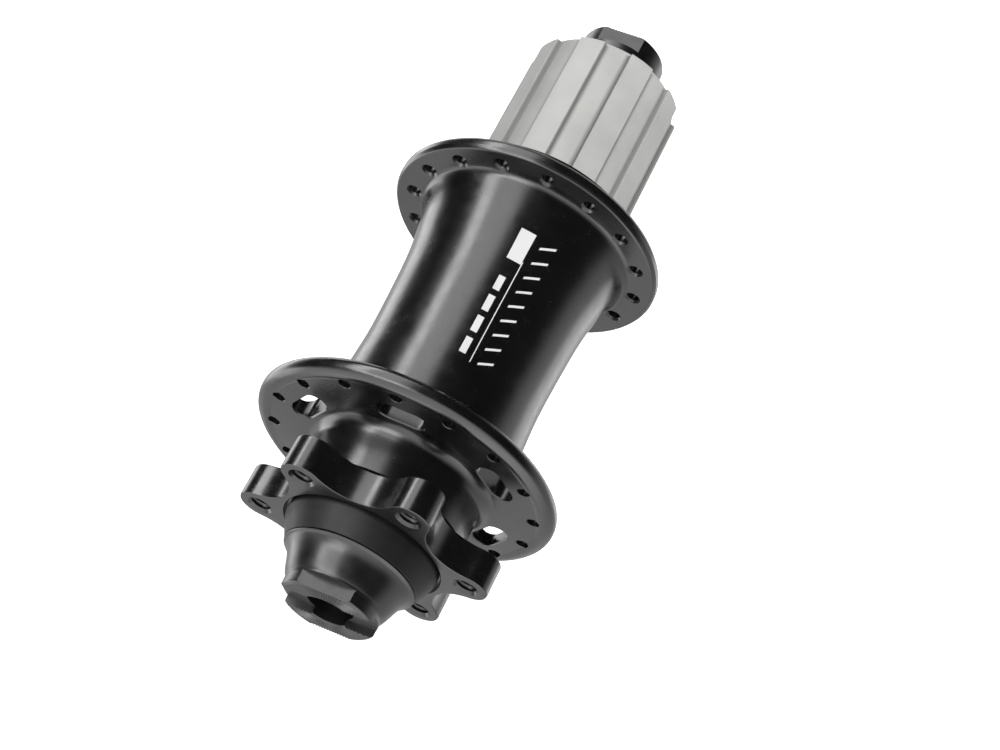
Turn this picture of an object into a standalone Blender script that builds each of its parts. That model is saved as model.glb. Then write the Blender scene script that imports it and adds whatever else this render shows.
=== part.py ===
"""Bicycle rear hub: six-bolt disc mount, splined freehub with four sprung pawls, cartridge bearings.

Frame: metres, +Z up, +X forward, +Y to the disc side. The origin is on the hub axis, midway
between the two faces that the frame dropouts clamp. Lengths below are in millimetres.
"""

import math

import bmesh
import bpy
from mathutils import Matrix, Vector

MM = 0.001
FIT = 0.25                      # clearance left between two pieces that touch on the real hub

# ---------------------------------------------------------------- driving dimensions
OVER_LOCKNUT = 148.0            # end face to end face
HALF_LENGTH = OVER_LOCKNUT / 2
BORE_R = 5.0                    # through bore of both end caps

# Axle
AXLE_BORE_R = 6.25
AXLE_SEAT_R = 8.5 - FIT         # carries the 17 mm bearing bores
AXLE_BODY_R = 9.75              # raised centre section, a shoulder for both shell bearings
AXLE_DISC_END_Y = 63.75
AXLE_DRIVE_END_Y = -65.75
AXLE_CHAMFER = 0.5
SLEEVE_BORE_R = 8.5
SLEEVE_R = 10.0
O_RING_GROOVE_R = 7.35
O_RING_MAJOR_R = 7.95
O_RING_SECTION_R = 0.42
O_RING_HALF_GROOVE = 0.7
DISC_O_RING_Y = 61.0
DRIVE_O_RING_Y = -63.0

# Bearings: name -> bore radius, outer radius, width, centre y, ball count
BEARINGS = {
    "disc_bearing": (8.5, 15.0, 7.0, 53.9, 9),
    "drive_bearing": (8.5, 15.0, 7.0, -12.0, 9),
    "freehub_inboard_bearing": (8.5, 13.0, 5.0, -30.5, 11),
    "freehub_outboard_bearing": (8.5, 13.0, 5.0, -58.5, 11),
}
BALL_SHARE = 0.5                # ball diameter over ring height
LAND_SHARE = 0.325              # thickness of each ring's land over ring height
BALL_CLEARANCE = 0.3
SEAL_THICKNESS = 0.45
SEAL_RECESS = 0.15
SEAL_GAP = 0.2
CAGE_HALF_HEIGHT = 0.45
CAGE_HALF_WIDTH = 1.15

# Hub shell
SHELL_BORE_R = 13.5
BEARING_SEAT_R = 15.0 + FIT
ROTOR_FACE_Y = 58.7
ROTOR_MOUNT_THICKNESS = 7.0
ROTOR_BOLT_CIRCLE_R = 22.0
ROTOR_BOLT_COUNT = 6
ROTOR_THREAD_R = 2.1            # M5 thread, minor diameter
ROTOR_THREAD_DEPTH = 10.0
LOBE_R = 4.4
SCALLOP_VALLEY_R = 18.0
COVER_SEAT_R = 16.6
COVER_SEAT_Y = 57.6
NECK_R = 17.6
DISC_FLANGE_OUTER_Y = 41.15
DISC_FLANGE_INNER_Y = 36.8
DISC_FLANGE_R = 32.2
DRIVE_FLANGE_INNER_Y = -18.5
DRIVE_FLANGE_OUTER_Y = -21.7
DRIVE_FLANGE_R = 29.7
DISC_RIM_BEVEL = ((39.6, 2.3), (38.0, 1.5))     # y of a rim corner, drop beside it
DISC_WEB = ((36.8, 29.7), (38.3, 27.4))         # (y, radius), from the rim in to the thin web
NECK_FOOT = ((42.9, 17.9), (41.15, 20.1))       # (y, radius) of the bell behind the rotor mount
BARREL = (                                      # (y, radius) between the flanges
    (38.3, 23.8),
    (36.6, 21.3),
    (34.2, 20.4),
    (27.5, 19.7),
    (14.5, 19.2),
    (-2.0, 19.9),
    (-11.0, 21.3),
    (-18.5, 23.6),
)
DRIVE_RIM_Y = -20.1
DRIVE_RIM_BEVEL = (0.6, 0.7)
BOSS_R = 22.6
BOSS_END_Y = -26.6
RATCHET_SEAT_R = 19.4
RATCHET_SEAT_Y = -16.9
SPOKES_PER_FLANGE = 16
SPOKE_HOLE_R = 1.3
DISC_SPOKE_CIRCLE_R = 28.1
DRIVE_SPOKE_CIRCLE_R = 25.5
SPOKE_PHASE = 0.8               # degrees, first hole of the disc flange
FLANGE_SLOT_COUNT = 6
FLANGE_SLOT_R = 22.7
FLANGE_SLOT_LENGTH = 10.4
FLANGE_SLOT_WIDTH = 4.6
FLANGE_SLOT_PHASE = 33.5        # degrees, centre of the first slot

# Freehub body
SPLINE_COUNT = 9
SPLINE_TIP_R = 17.3
SPLINE_ROOT_R = 16.2
SPLINE_WIDTH = 20.0             # degrees
SPLINE_FLANK = 0.6              # degrees that the side of a ridge takes
SPLINE_START_Y = -28.3          # shoulder that the first sprocket stops against
SPLINE_END_Y = -62.7
FREEHUB_END_Y = -63.4
FREEHUB_COLLAR_R = 16.0
FREEHUB_SHOULDER_R = 18.4
FREEHUB_SHOULDER_Y = -26.9
CARRIER_R = 15.4                # pawl carrier, inside the ratchet ring
CARRIER_END_Y = -17.2
CARRIER_BORE_R = 10.6
FREEHUB_BORE_R = 13.0 + FIT
FREEHUB_WEB_R = 11.6            # bore between the two bearings
SNAP_RING_GROOVE_R = 14.0
SNAP_RING_Y = -61.75
SNAP_GROOVE_HALF = 0.65
SNAP_RING_HALF = 0.4
SNAP_RING_INNER_R = 11.9
SNAP_RING_OPENING = 24.0        # degrees
SNAP_RING_STEPS = 20

# Ratchet and pawls
TOOTH_COUNT = 36
TOOTH_ROOT_R = 17.3
TOOTH_TIP_R = 16.0
TOOTH_RAMP_SHARE = 0.92         # part of each pitch taken by the ramp
RATCHET_OUTER_R = RATCHET_SEAT_R - FIT
RATCHET_Y = (-24.6, -17.15)
LIP_SEAL_Y = (-26.3, -24.9)
PAWL_COUNT = 4
PAWL_PHASE = 20.0               # degrees, pivot of the first pawl
PAWL_PIVOT_R = 13.6
PAWL_HEEL_R = 1.45
PAWL_Y = (-24.3, -18.7)
PAWL_POCKET_Y = (-24.6, -18.4)
PAWL_SWEEP = 24.0               # degrees from the pivot to the tip
PAWL_TIP_GAP = 1.8              # degrees between a pawl's tip and the tooth it drives
PAWL_ARM = (                    # (radius, degrees from the pivot), belly first
    (12.35, -7.0),
    (13.9, -19.0),
    (14.6, -PAWL_SWEEP),
    (16.75, -PAWL_SWEEP),
    (16.2, 3.8 - PAWL_SWEEP),
    (15.55, 9.7 - PAWL_SWEEP),
)
POCKET_END = PAWL_SWEEP + 4.5    # the tip swings 3 degrees further round as it folds
POCKET_FLOOR = ((11.7, 7.0), (11.75, 12.0), (12.0, 19.0), (12.3, POCKET_END))
POCKET_MOUTH_R = CARRIER_R + 1.5
POCKET_MOUTH = (-POCKET_END, 6.5)
LEAF_CURVE = ((11.95, 12.5), (12.05, 15.5), (12.2, 18.5), (12.4, 21.5))
LEAF_THICKNESS = 0.25
LEAF_HALF_WIDTH = 1.5

# Dust cover and end caps
COVER_MOUTH_R = 16.1
COVER_SHOULDER_R = 13.9
COVER_Y = (58.0, 64.0)
COVER_OUTSIDE = ((61.0, 15.3), (59.2, COVER_MOUTH_R))       # (y, radius)
COVER_INSIDE = ((58.0, 14.6), (61.6, 13.4))
CAP_HUB_R = 10.3
CAP_FLARE_Y = 64.25
CAP_TRUMPET = ((69.2, 11.1), (66.4, 12.1), (64.8, 13.2))    # (y, radius)
DISC_STUB_R = 10.1
DISC_STUB_START_Y = 70.9
DISC_FLAT_HALF = 8.5            # half the width across the wrench flats
DRIVE_CAP_R = 9.5
DRIVE_FLAT_HALF = 8.2
DRIVE_FLAT_START_Y = -69.8
CAP_SLOT_HALF = 3.6
CAP_SLOT_DEPTH = 1.8
CAP_CHAMFER = 0.45
CUT_REACH = 20.0                # how far a cutter stands out past the end caps

TURNED_SIDES = 32               # sides of the axle, caps and sleeves
RING_SIDES = 24                 # sides of bearing rings, seals and O-rings


# ---------------------------------------------------------------- materials
def make_material(name, colour, roughness, metallic):
    """A plain Principled material."""
    material = bpy.data.materials.new(name)
    material.use_nodes = True
    shader = material.node_tree.nodes["Principled BSDF"]
    shader.inputs["Base Color"].default_value = (*colour, 1.0)
    shader.inputs["Roughness"].default_value = roughness
    shader.inputs["Metallic"].default_value = metallic
    return material


def make_materials():
    """Every finish on the hub, by name."""
    return {
        "black_anodised": make_material("black_anodised", (0.012, 0.012, 0.014), 0.28, 0.9),
        "satin_black": make_material("satin_black", (0.02, 0.02, 0.022), 0.35, 0.9),
        "blasted_aluminium": make_material("blasted_aluminium", (0.52, 0.52, 0.5), 0.5, 1.0),
        "black_rubber": make_material("black_rubber", (0.03, 0.03, 0.032), 0.75, 0.0),
        "bearing_steel": make_material("bearing_steel", (0.6, 0.6, 0.6), 0.2, 1.0),
        "hardened_steel": make_material("hardened_steel", (0.35, 0.35, 0.36), 0.35, 1.0),
        "spring_steel": make_material("spring_steel", (0.45, 0.46, 0.48), 0.3, 1.0),
    }


# ---------------------------------------------------------------- mesh helpers
def at(radius, angle, y):
    """Point at a radius and an angle from +X towards +Z, in millimetres."""
    turn = math.radians(angle)
    return Vector((radius * math.cos(turn), y, radius * math.sin(turn))) * MM


def add_object(name, mesh_builder, material, parent=None):
    """Turn a bmesh into a named, smooth-shaded object."""
    bmesh.ops.recalc_face_normals(mesh_builder, faces=mesh_builder.faces)
    mesh = bpy.data.meshes.new(name)
    mesh_builder.to_mesh(mesh)
    mesh_builder.free()
    mesh.shade_smooth()
    mesh.set_sharp_from_angle(angle=math.radians(30.0))
    mesh.materials.append(material)
    obj = bpy.data.objects.new(name, mesh)
    bpy.context.scene.collection.objects.link(obj)
    obj.parent = parent
    return obj


def even_angles(count, phase=0.0):
    """Angles of a full turn, in degrees."""
    return [phase + 360.0 * step / count for step in range(count)]


def turned(profile, angles):
    """Closed ring turned about the hub axis. A profile point is (y, radius), and the radius
    may be a function of the angle."""
    builder = bmesh.new()
    rows = []
    for angle in angles:
        row = []
        for y, radius in profile:
            size = radius(angle) if callable(radius) else radius
            row.append(builder.verts.new(at(size, angle, y)))
        rows.append(row)
    for index, row in enumerate(rows):
        following = rows[(index + 1) % len(rows)]
        for corner in range(len(profile)):
            beyond = (corner + 1) % len(profile)
            builder.faces.new((row[corner], row[beyond], following[beyond], following[corner]))
    return builder


def prism(outline, y_low, y_high, builder=None):
    """Solid with an (x, z) outline in millimetres, between two values of y."""
    builder = builder or bmesh.new()
    low = [builder.verts.new(Vector((x, y_low, z)) * MM) for x, z in outline]
    high = [builder.verts.new(Vector((x, y_high, z)) * MM) for x, z in outline]
    faces = [builder.faces.new(low), builder.faces.new(list(reversed(high)))]
    for index in range(len(outline)):
        beyond = (index + 1) % len(outline)
        faces.append(builder.faces.new((low[beyond], low[index], high[index], high[beyond])))
    bmesh.ops.recalc_face_normals(builder, faces=faces)
    return builder


def polar(radius, angle):
    """(x, z) of a polar point, in millimetres."""
    turn = math.radians(angle)
    return radius * math.cos(turn), radius * math.sin(turn)


def rectangle(x_low, x_high, z_low, z_high):
    """(x, z) outline of a rectangle."""
    return [(x_low, z_low), (x_high, z_low), (x_high, z_high), (x_low, z_high)]


def circle_outline(centre_r, angle, radius, sides):
    """(x, z) outline of a circle whose centre is a polar point."""
    centre_x, centre_z = polar(centre_r, angle)
    corners = [polar(radius, turn) for turn in even_angles(sides, angle + 90.0 / sides)]
    return [(centre_x + x, centre_z + z) for x, z in corners]


def cut(target, builder, name):
    """Cut a solid away with an exact Boolean. The cutter stays as a hidden guide."""
    cutter = add_object(name, builder, target.data.materials[0])
    cutter.hide_render = True
    cutter.display_type = "WIRE"
    cutter.hide_set(True)
    modifier = target.modifiers.new(name, "BOOLEAN")
    modifier.operation = "DIFFERENCE"
    modifier.solver = "EXACT"
    modifier.object = cutter


def bearing_face(name, side):
    """y of a bearing's disc-side (+1) or drive-side (-1) face."""
    width, centre_y = BEARINGS[name][2:4]
    return centre_y + side * width / 2


# ---------------------------------------------------------------- hub shell
def rotor_mount_radius(angle):
    """Outline of the six-lobe rotor mount: round lobes joined by tangent scallops."""
    pitch = 360.0 / ROTOR_BOLT_COUNT
    half = math.radians(pitch / 2)
    # A scallop circle touches both neighbouring lobes and reaches in to the valley radius.
    reach = ROTOR_BOLT_CIRCLE_R * math.cos(half)
    scallop_r = (
        (ROTOR_BOLT_CIRCLE_R ** 2 + SCALLOP_VALLEY_R ** 2 - 2 * reach * SCALLOP_VALLEY_R - LOBE_R ** 2)
        / (2 * (LOBE_R - SCALLOP_VALLEY_R + reach))
    )
    scallop_centre = SCALLOP_VALLEY_R + scallop_r
    turn = math.radians((angle + pitch / 2) % pitch - pitch / 2)
    lobe_reach = LOBE_R ** 2 - (ROTOR_BOLT_CIRCLE_R * math.sin(turn)) ** 2
    away = half - abs(turn)
    scallop_reach = scallop_r ** 2 - (scallop_centre * math.sin(away)) ** 2
    touch = LOBE_R / (LOBE_R + scallop_r)
    touch_x = ROTOR_BOLT_CIRCLE_R + touch * (scallop_centre * math.cos(half) - ROTOR_BOLT_CIRCLE_R)
    touch_z = touch * scallop_centre * math.sin(half)
    if abs(turn) <= math.atan2(touch_z, touch_x):
        return ROTOR_BOLT_CIRCLE_R * math.cos(turn) + math.sqrt(max(lobe_reach, 0.0))
    return scallop_centre * math.cos(away) - math.sqrt(max(scallop_reach, 0.0))


def shell_profile():
    """(y, radius) round the shell's section, from the rotor face along the outside and back."""
    mount_back = ROTOR_FACE_Y - ROTOR_MOUNT_THICKNESS
    disc_shoulder_y = bearing_face("disc_bearing", -1) - FIT
    drive_shoulder_y = bearing_face("drive_bearing", 1) + FIT
    (outer_corner_y, outer_drop), (inner_corner_y, inner_drop) = DISC_RIM_BEVEL
    outside = [
        (ROTOR_FACE_Y, rotor_mount_radius),
        (mount_back, rotor_mount_radius),
        (mount_back, NECK_R),
        *NECK_FOOT,
        (DISC_FLANGE_OUTER_Y, DISC_FLANGE_R - outer_drop),
        (outer_corner_y, DISC_FLANGE_R),
        (inner_corner_y, DISC_FLANGE_R),
        (DISC_FLANGE_INNER_Y, DISC_FLANGE_R - inner_drop),
        *DISC_WEB,
        *BARREL,
        (DRIVE_FLANGE_INNER_Y, DRIVE_FLANGE_R - DRIVE_RIM_BEVEL[0]),
        (DRIVE_RIM_Y, DRIVE_FLANGE_R),
        (DRIVE_FLANGE_OUTER_Y, DRIVE_FLANGE_R - DRIVE_RIM_BEVEL[1]),
        (DRIVE_FLANGE_OUTER_Y, BOSS_R),
        (BOSS_END_Y, BOSS_R),
    ]
    inside = [
        (BOSS_END_Y, RATCHET_SEAT_R),
        (RATCHET_SEAT_Y, RATCHET_SEAT_R),
        (RATCHET_SEAT_Y, BEARING_SEAT_R),
        (drive_shoulder_y, BEARING_SEAT_R),
        (drive_shoulder_y, SHELL_BORE_R),
        (disc_shoulder_y, SHELL_BORE_R),
        (disc_shoulder_y, BEARING_SEAT_R),
        (COVER_SEAT_Y, BEARING_SEAT_R),
        (COVER_SEAT_Y, COVER_SEAT_R),
        (ROTOR_FACE_Y, COVER_SEAT_R),
    ]
    return outside + inside


def slot_outline(angle):
    """(x, z) outline of one round-ended lightening slot, laid along the tangent."""
    half_straight = (FLANGE_SLOT_LENGTH - FLANGE_SLOT_WIDTH) / 2
    end_r = FLANGE_SLOT_WIDTH / 2
    corners = []
    for side, start in ((1, 0.0), (-1, 180.0)):
        for step in range(4):
            turn = math.radians(start + 60.0 * step)
            corners.append((end_r * math.cos(turn), side * half_straight + end_r * math.sin(turn)))
    tilt = math.radians(angle)
    return [
        (
            (FLANGE_SLOT_R + out) * math.cos(tilt) - along * math.sin(tilt),
            (FLANGE_SLOT_R + out) * math.sin(tilt) + along * math.cos(tilt),
        )
        for out, along in corners
    ]


def build_shell(materials, parent):
    """The one-piece shell, with its threads, spoke holes and lightening slots."""
    # Samples bunched on the steep flanks of the lobes.
    offsets = (-20.0, -12.5, -9.5, 0.0, 9.5, 12.5, 20.0, 30.0)
    pitch = 360.0 / ROTOR_BOLT_COUNT
    angles = [pitch * lobe + offset for lobe in range(ROTOR_BOLT_COUNT) for offset in offsets]
    shell = add_object("hub_shell", turned(shell_profile(), angles), materials["black_anodised"], parent)

    threads = bmesh.new()
    for angle in even_angles(ROTOR_BOLT_COUNT):
        outline = circle_outline(ROTOR_BOLT_CIRCLE_R, angle, ROTOR_THREAD_R, 8)
        prism(outline, ROTOR_FACE_Y - ROTOR_THREAD_DEPTH, ROTOR_FACE_Y + 1.0, threads)
    cut(shell, threads, "cut_rotor_threads")

    spokes = bmesh.new()
    flanges = (
        (DISC_SPOKE_CIRCLE_R, SPOKE_PHASE, DISC_FLANGE_INNER_Y, DISC_FLANGE_OUTER_Y),
        (
            DRIVE_SPOKE_CIRCLE_R,
            SPOKE_PHASE + 180.0 / SPOKES_PER_FLANGE,
            DRIVE_FLANGE_OUTER_Y,
            DRIVE_FLANGE_INNER_Y,
        ),
    )
    for circle_r, phase, y_low, y_high in flanges:
        for angle in even_angles(SPOKES_PER_FLANGE, phase):
            outline = circle_outline(circle_r, angle, SPOKE_HOLE_R, 6)
            prism(outline, y_low - 1.0, y_high + 1.0, spokes)
    cut(shell, spokes, "cut_spoke_holes")

    slots = bmesh.new()
    for angle in even_angles(FLANGE_SLOT_COUNT, FLANGE_SLOT_PHASE):
        prism(slot_outline(angle), DISC_FLANGE_INNER_Y - 3.5, DISC_FLANGE_OUTER_Y + 1.5, slots)
    cut(shell, slots, "cut_flange_slots")
    return shell


# ---------------------------------------------------------------- axle, spacers and end caps
def build_axle(materials, parent):
    """Hollow axle with a raised centre section and two O-ring grooves."""
    groove = O_RING_HALF_GROOVE
    disc_shoulder_y = bearing_face("disc_bearing", -1) - FIT
    drive_shoulder_y = bearing_face("drive_bearing", 1) + FIT
    profile = [
        (AXLE_DISC_END_Y, AXLE_BORE_R),
        (AXLE_DISC_END_Y, AXLE_SEAT_R - AXLE_CHAMFER),
        (AXLE_DISC_END_Y - AXLE_CHAMFER, AXLE_SEAT_R),
        (DISC_O_RING_Y + groove, AXLE_SEAT_R),
        (DISC_O_RING_Y + groove, O_RING_GROOVE_R),
        (DISC_O_RING_Y - groove, O_RING_GROOVE_R),
        (DISC_O_RING_Y - groove, AXLE_SEAT_R),
        (disc_shoulder_y, AXLE_SEAT_R),
        (disc_shoulder_y, AXLE_BODY_R),
        (drive_shoulder_y, AXLE_BODY_R),
        (drive_shoulder_y, AXLE_SEAT_R),
        (DRIVE_O_RING_Y + groove, AXLE_SEAT_R),
        (DRIVE_O_RING_Y + groove, O_RING_GROOVE_R),
        (DRIVE_O_RING_Y - groove, O_RING_GROOVE_R),
        (DRIVE_O_RING_Y - groove, AXLE_SEAT_R),
        (AXLE_DRIVE_END_Y + AXLE_CHAMFER, AXLE_SEAT_R),
        (AXLE_DRIVE_END_Y, AXLE_SEAT_R - AXLE_CHAMFER),
        (AXLE_DRIVE_END_Y, AXLE_BORE_R),
    ]
    add_object("axle", turned(profile, even_angles(TURNED_SIDES)), materials["satin_black"], parent)


def build_o_ring(name, y, materials, parent):
    """Rubber ring in an axle groove, which holds an end cap on by friction."""
    section = [polar(O_RING_SECTION_R, turn) for turn in even_angles(5)]
    profile = [(y + along, O_RING_MAJOR_R + out) for out, along in section]
    add_object(name, turned(profile, even_angles(RING_SIDES)), materials["black_rubber"], parent)


def build_spacers(materials, parent):
    """Sleeves that hold the inner rings apart on the axle."""
    sleeves = {
        "shell_to_freehub_spacer": ("drive_bearing", "freehub_inboard_bearing"),
        "freehub_bearing_spacer": ("freehub_inboard_bearing", "freehub_outboard_bearing"),
    }
    for name, (disc_side, drive_side) in sleeves.items():
        y_high = bearing_face(disc_side, -1) - FIT
        y_low = bearing_face(drive_side, 1) + FIT
        profile = [(y_high, SLEEVE_BORE_R), (y_high, SLEEVE_R), (y_low, SLEEVE_R), (y_low, SLEEVE_BORE_R)]
        add_object(name, turned(profile, even_angles(RING_SIDES)), materials["satin_black"], parent)


def wrench_flats(half_width, y_low, y_high):
    """Two blocks that leave parallel flats above and below the axis."""
    builder = bmesh.new()
    for side in (1, -1):
        outline = rectangle(-CUT_REACH, CUT_REACH, side * half_width, side * CUT_REACH)
        prism(outline, y_low, y_high, builder)
    return builder


def build_end_caps(materials, parent):
    """Both end caps. The disc side is a trumpet with flats and a slotted face."""
    socket_r = AXLE_SEAT_R + FIT
    disc_socket_y = AXLE_DISC_END_Y + FIT
    disc_seat_y = bearing_face("disc_bearing", 1) + FIT
    disc_profile = [
        (HALF_LENGTH, BORE_R),
        (HALF_LENGTH, DISC_STUB_R - CAP_CHAMFER),
        (HALF_LENGTH - CAP_CHAMFER, DISC_STUB_R),
        (DISC_STUB_START_Y, DISC_STUB_R),
        *CAP_TRUMPET,
        (CAP_FLARE_Y, COVER_SHOULDER_R),
        (CAP_FLARE_Y, CAP_HUB_R),
        (disc_seat_y, CAP_HUB_R),
        (disc_seat_y, socket_r),
        (disc_socket_y, socket_r),
        (disc_socket_y, BORE_R),
    ]
    disc_cap = add_object(
        "disc_end_cap", turned(disc_profile, even_angles(TURNED_SIDES)), materials["black_anodised"], parent
    )
    beyond_face = HALF_LENGTH + 1.0
    cut(disc_cap, wrench_flats(DISC_FLAT_HALF, DISC_STUB_START_Y, beyond_face), "cut_disc_flats")
    slot = rectangle(-CUT_REACH, CUT_REACH, -CAP_SLOT_HALF, CAP_SLOT_HALF)
    cut(disc_cap, prism(slot, HALF_LENGTH - CAP_SLOT_DEPTH, beyond_face), "cut_face_slot")

    drive_socket_y = AXLE_DRIVE_END_Y - FIT
    drive_seat_y = bearing_face("freehub_outboard_bearing", -1) - FIT
    drive_profile = [
        (drive_seat_y, socket_r),
        (drive_seat_y, DRIVE_CAP_R),
        (CAP_CHAMFER - HALF_LENGTH, DRIVE_CAP_R),
        (-HALF_LENGTH, DRIVE_CAP_R - CAP_CHAMFER),
        (-HALF_LENGTH, BORE_R),
        (drive_socket_y, BORE_R),
        (drive_socket_y, socket_r),
    ]
    drive_cap = add_object(
        "drive_end_cap", turned(drive_profile, even_angles(TURNED_SIDES)), materials["black_anodised"], parent
    )
    cut(drive_cap, wrench_flats(DRIVE_FLAT_HALF, -beyond_face, DRIVE_FLAT_START_Y), "cut_drive_flats")


def build_dust_cover(materials, parent):
    """Conical rubber cover between the disc end cap and the rotor mount."""
    low, high = COVER_Y
    profile = [
        (high, CAP_HUB_R + FIT),
        (high, COVER_SHOULDER_R),
        *COVER_OUTSIDE,
        (low, COVER_MOUTH_R),
        *COVER_INSIDE,
        (COVER_INSIDE[-1][0], CAP_HUB_R + FIT),
    ]
    builder = turned(profile, even_angles(TURNED_SIDES))
    add_object("disc_dust_cover", builder, materials["black_rubber"], parent)


# ---------------------------------------------------------------- bearings
def bearing_sizes(name):
    """Pitch radius, ball radius and ring lands of one cartridge bearing."""
    bore_r, outer_r = BEARINGS[name][:2]
    height = outer_r - bore_r
    return {
        "pitch_r": (bore_r + outer_r) / 2,
        "ball_r": height * BALL_SHARE / 2,
        "inner_land_r": bore_r + height * LAND_SHARE,
        "outer_land_r": outer_r - height * LAND_SHARE,
    }


def raceway(sizes, centre_y, outward):
    """(y, radius) arc of the groove that the balls run in, from high y to low y."""
    groove_r = sizes["ball_r"] + BALL_CLEARANCE
    land_r = sizes["outer_land_r"] if outward else sizes["inner_land_r"]
    span = math.acos(abs(land_r - sizes["pitch_r"]) / groove_r)
    side = 1.0 if outward else -1.0
    points = []
    for turn in (span, 0.0, -span):
        out = side * groove_r * math.cos(turn)
        points.append((centre_y + groove_r * math.sin(turn), sizes["pitch_r"] + out))
    return points


def build_bearing(name, materials, ring_parent, inner_parent, cage_parent):
    """Inner ring, outer ring, two seals, and the balls held in one cage."""
    bore_r, outer_r, _, centre_y, ball_count = BEARINGS[name]
    sizes = bearing_sizes(name)
    high, low = bearing_face(name, 1), bearing_face(name, -1)
    angles = even_angles(RING_SIDES)

    inner = [(low, bore_r), (high, bore_r), (high, sizes["inner_land_r"])]
    inner += raceway(sizes, centre_y, outward=False)
    inner += [(low, sizes["inner_land_r"])]
    add_object(name + "_inner_ring", turned(inner, angles), materials["bearing_steel"], inner_parent)

    outer = [(low, sizes["outer_land_r"])]
    outer += list(reversed(raceway(sizes, centre_y, outward=True)))
    outer += [
        (high, sizes["outer_land_r"]),
        (high, outer_r),
        (low, outer_r),
    ]
    add_object(name + "_outer_ring", turned(outer, angles), materials["bearing_steel"], ring_parent)

    seal_inner_r = sizes["inner_land_r"] + SEAL_GAP
    seal_outer_r = sizes["outer_land_r"] - SEAL_GAP
    for side, label in ((1, "disc_side_seal"), (-1, "drive_side_seal")):
        face_y = bearing_face(name, side) - side * SEAL_RECESS
        back_y = face_y - side * SEAL_THICKNESS
        seal = [
            (face_y, seal_inner_r),
            (face_y, seal_outer_r),
            (back_y, seal_outer_r),
            (back_y, seal_inner_r),
        ]
        add_object(f"{name}_{label}", turned(seal, angles), materials["black_rubber"], ring_parent)

    cage_inner_r = sizes["pitch_r"] - CAGE_HALF_HEIGHT
    cage_outer_r = sizes["pitch_r"] + CAGE_HALF_HEIGHT
    cage = [
        (centre_y + CAGE_HALF_WIDTH, cage_inner_r),
        (centre_y + CAGE_HALF_WIDTH, cage_outer_r),
        (centre_y - CAGE_HALF_WIDTH, cage_outer_r),
        (centre_y - CAGE_HALF_WIDTH, cage_inner_r),
    ]
    builder = turned(cage, even_angles(ball_count * 2))
    cage_object = add_object(name + "_balls", builder, materials["bearing_steel"], cage_parent)
    balls = bmesh.new()
    for angle in even_angles(ball_count):
        place = Matrix.Translation(at(sizes["pitch_r"], angle, centre_y))
        bmesh.ops.create_icosphere(balls, subdivisions=1, radius=sizes["ball_r"] * MM, matrix=place)
    ball_object = add_object(f"{name}_ball_guide", balls, materials["bearing_steel"])
    ball_object.hide_render = True
    ball_object.display_type = "WIRE"
    ball_object.hide_set(True)
    join = cage_object.modifiers.new("balls", "BOOLEAN")
    join.operation = "UNION"
    join.solver = "EXACT"
    join.object = ball_object


# ---------------------------------------------------------------- freehub
def spline_radius(angle):
    """Outline of the splined barrel: nine ridges with steep sides."""
    pitch = 360.0 / SPLINE_COUNT
    offset = abs((angle + pitch / 2) % pitch - pitch / 2)
    return SPLINE_TIP_R if offset <= SPLINE_WIDTH / 2 else SPLINE_ROOT_R


def pawl_outline():
    """(x, z) outline of a pawl round its pivot, which is on +X. It points towards -Z, the way
    that the freehub drives."""
    heel = [polar(PAWL_HEEL_R, turn) for turn in range(0, 211, 30)]
    tip = [polar(radius, turn) for radius, turn in PAWL_ARM]
    return heel + [(x - PAWL_PIVOT_R, z) for x, z in tip]


def turned_outline(outline, angle):
    """Turn an (x, z) outline about the hub axis."""
    turn = Matrix.Rotation(math.radians(angle), 2)
    return [tuple(turn @ Vector(point)) for point in outline]


def pocket_outline():
    """(x, z) outline of the space that a pawl swings in, with its pivot on +X."""
    heel_r = PAWL_HEEL_R + FIT
    heel = [polar(heel_r, turn) for turn in range(60, 181, 30)]
    outline = [(PAWL_PIVOT_R + x, z) for x, z in heel]
    outline += [polar(radius, -turn) for radius, turn in POCKET_FLOOR]
    outline += [polar(POCKET_MOUTH_R, turn) for turn in POCKET_MOUTH]
    return outline


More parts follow.
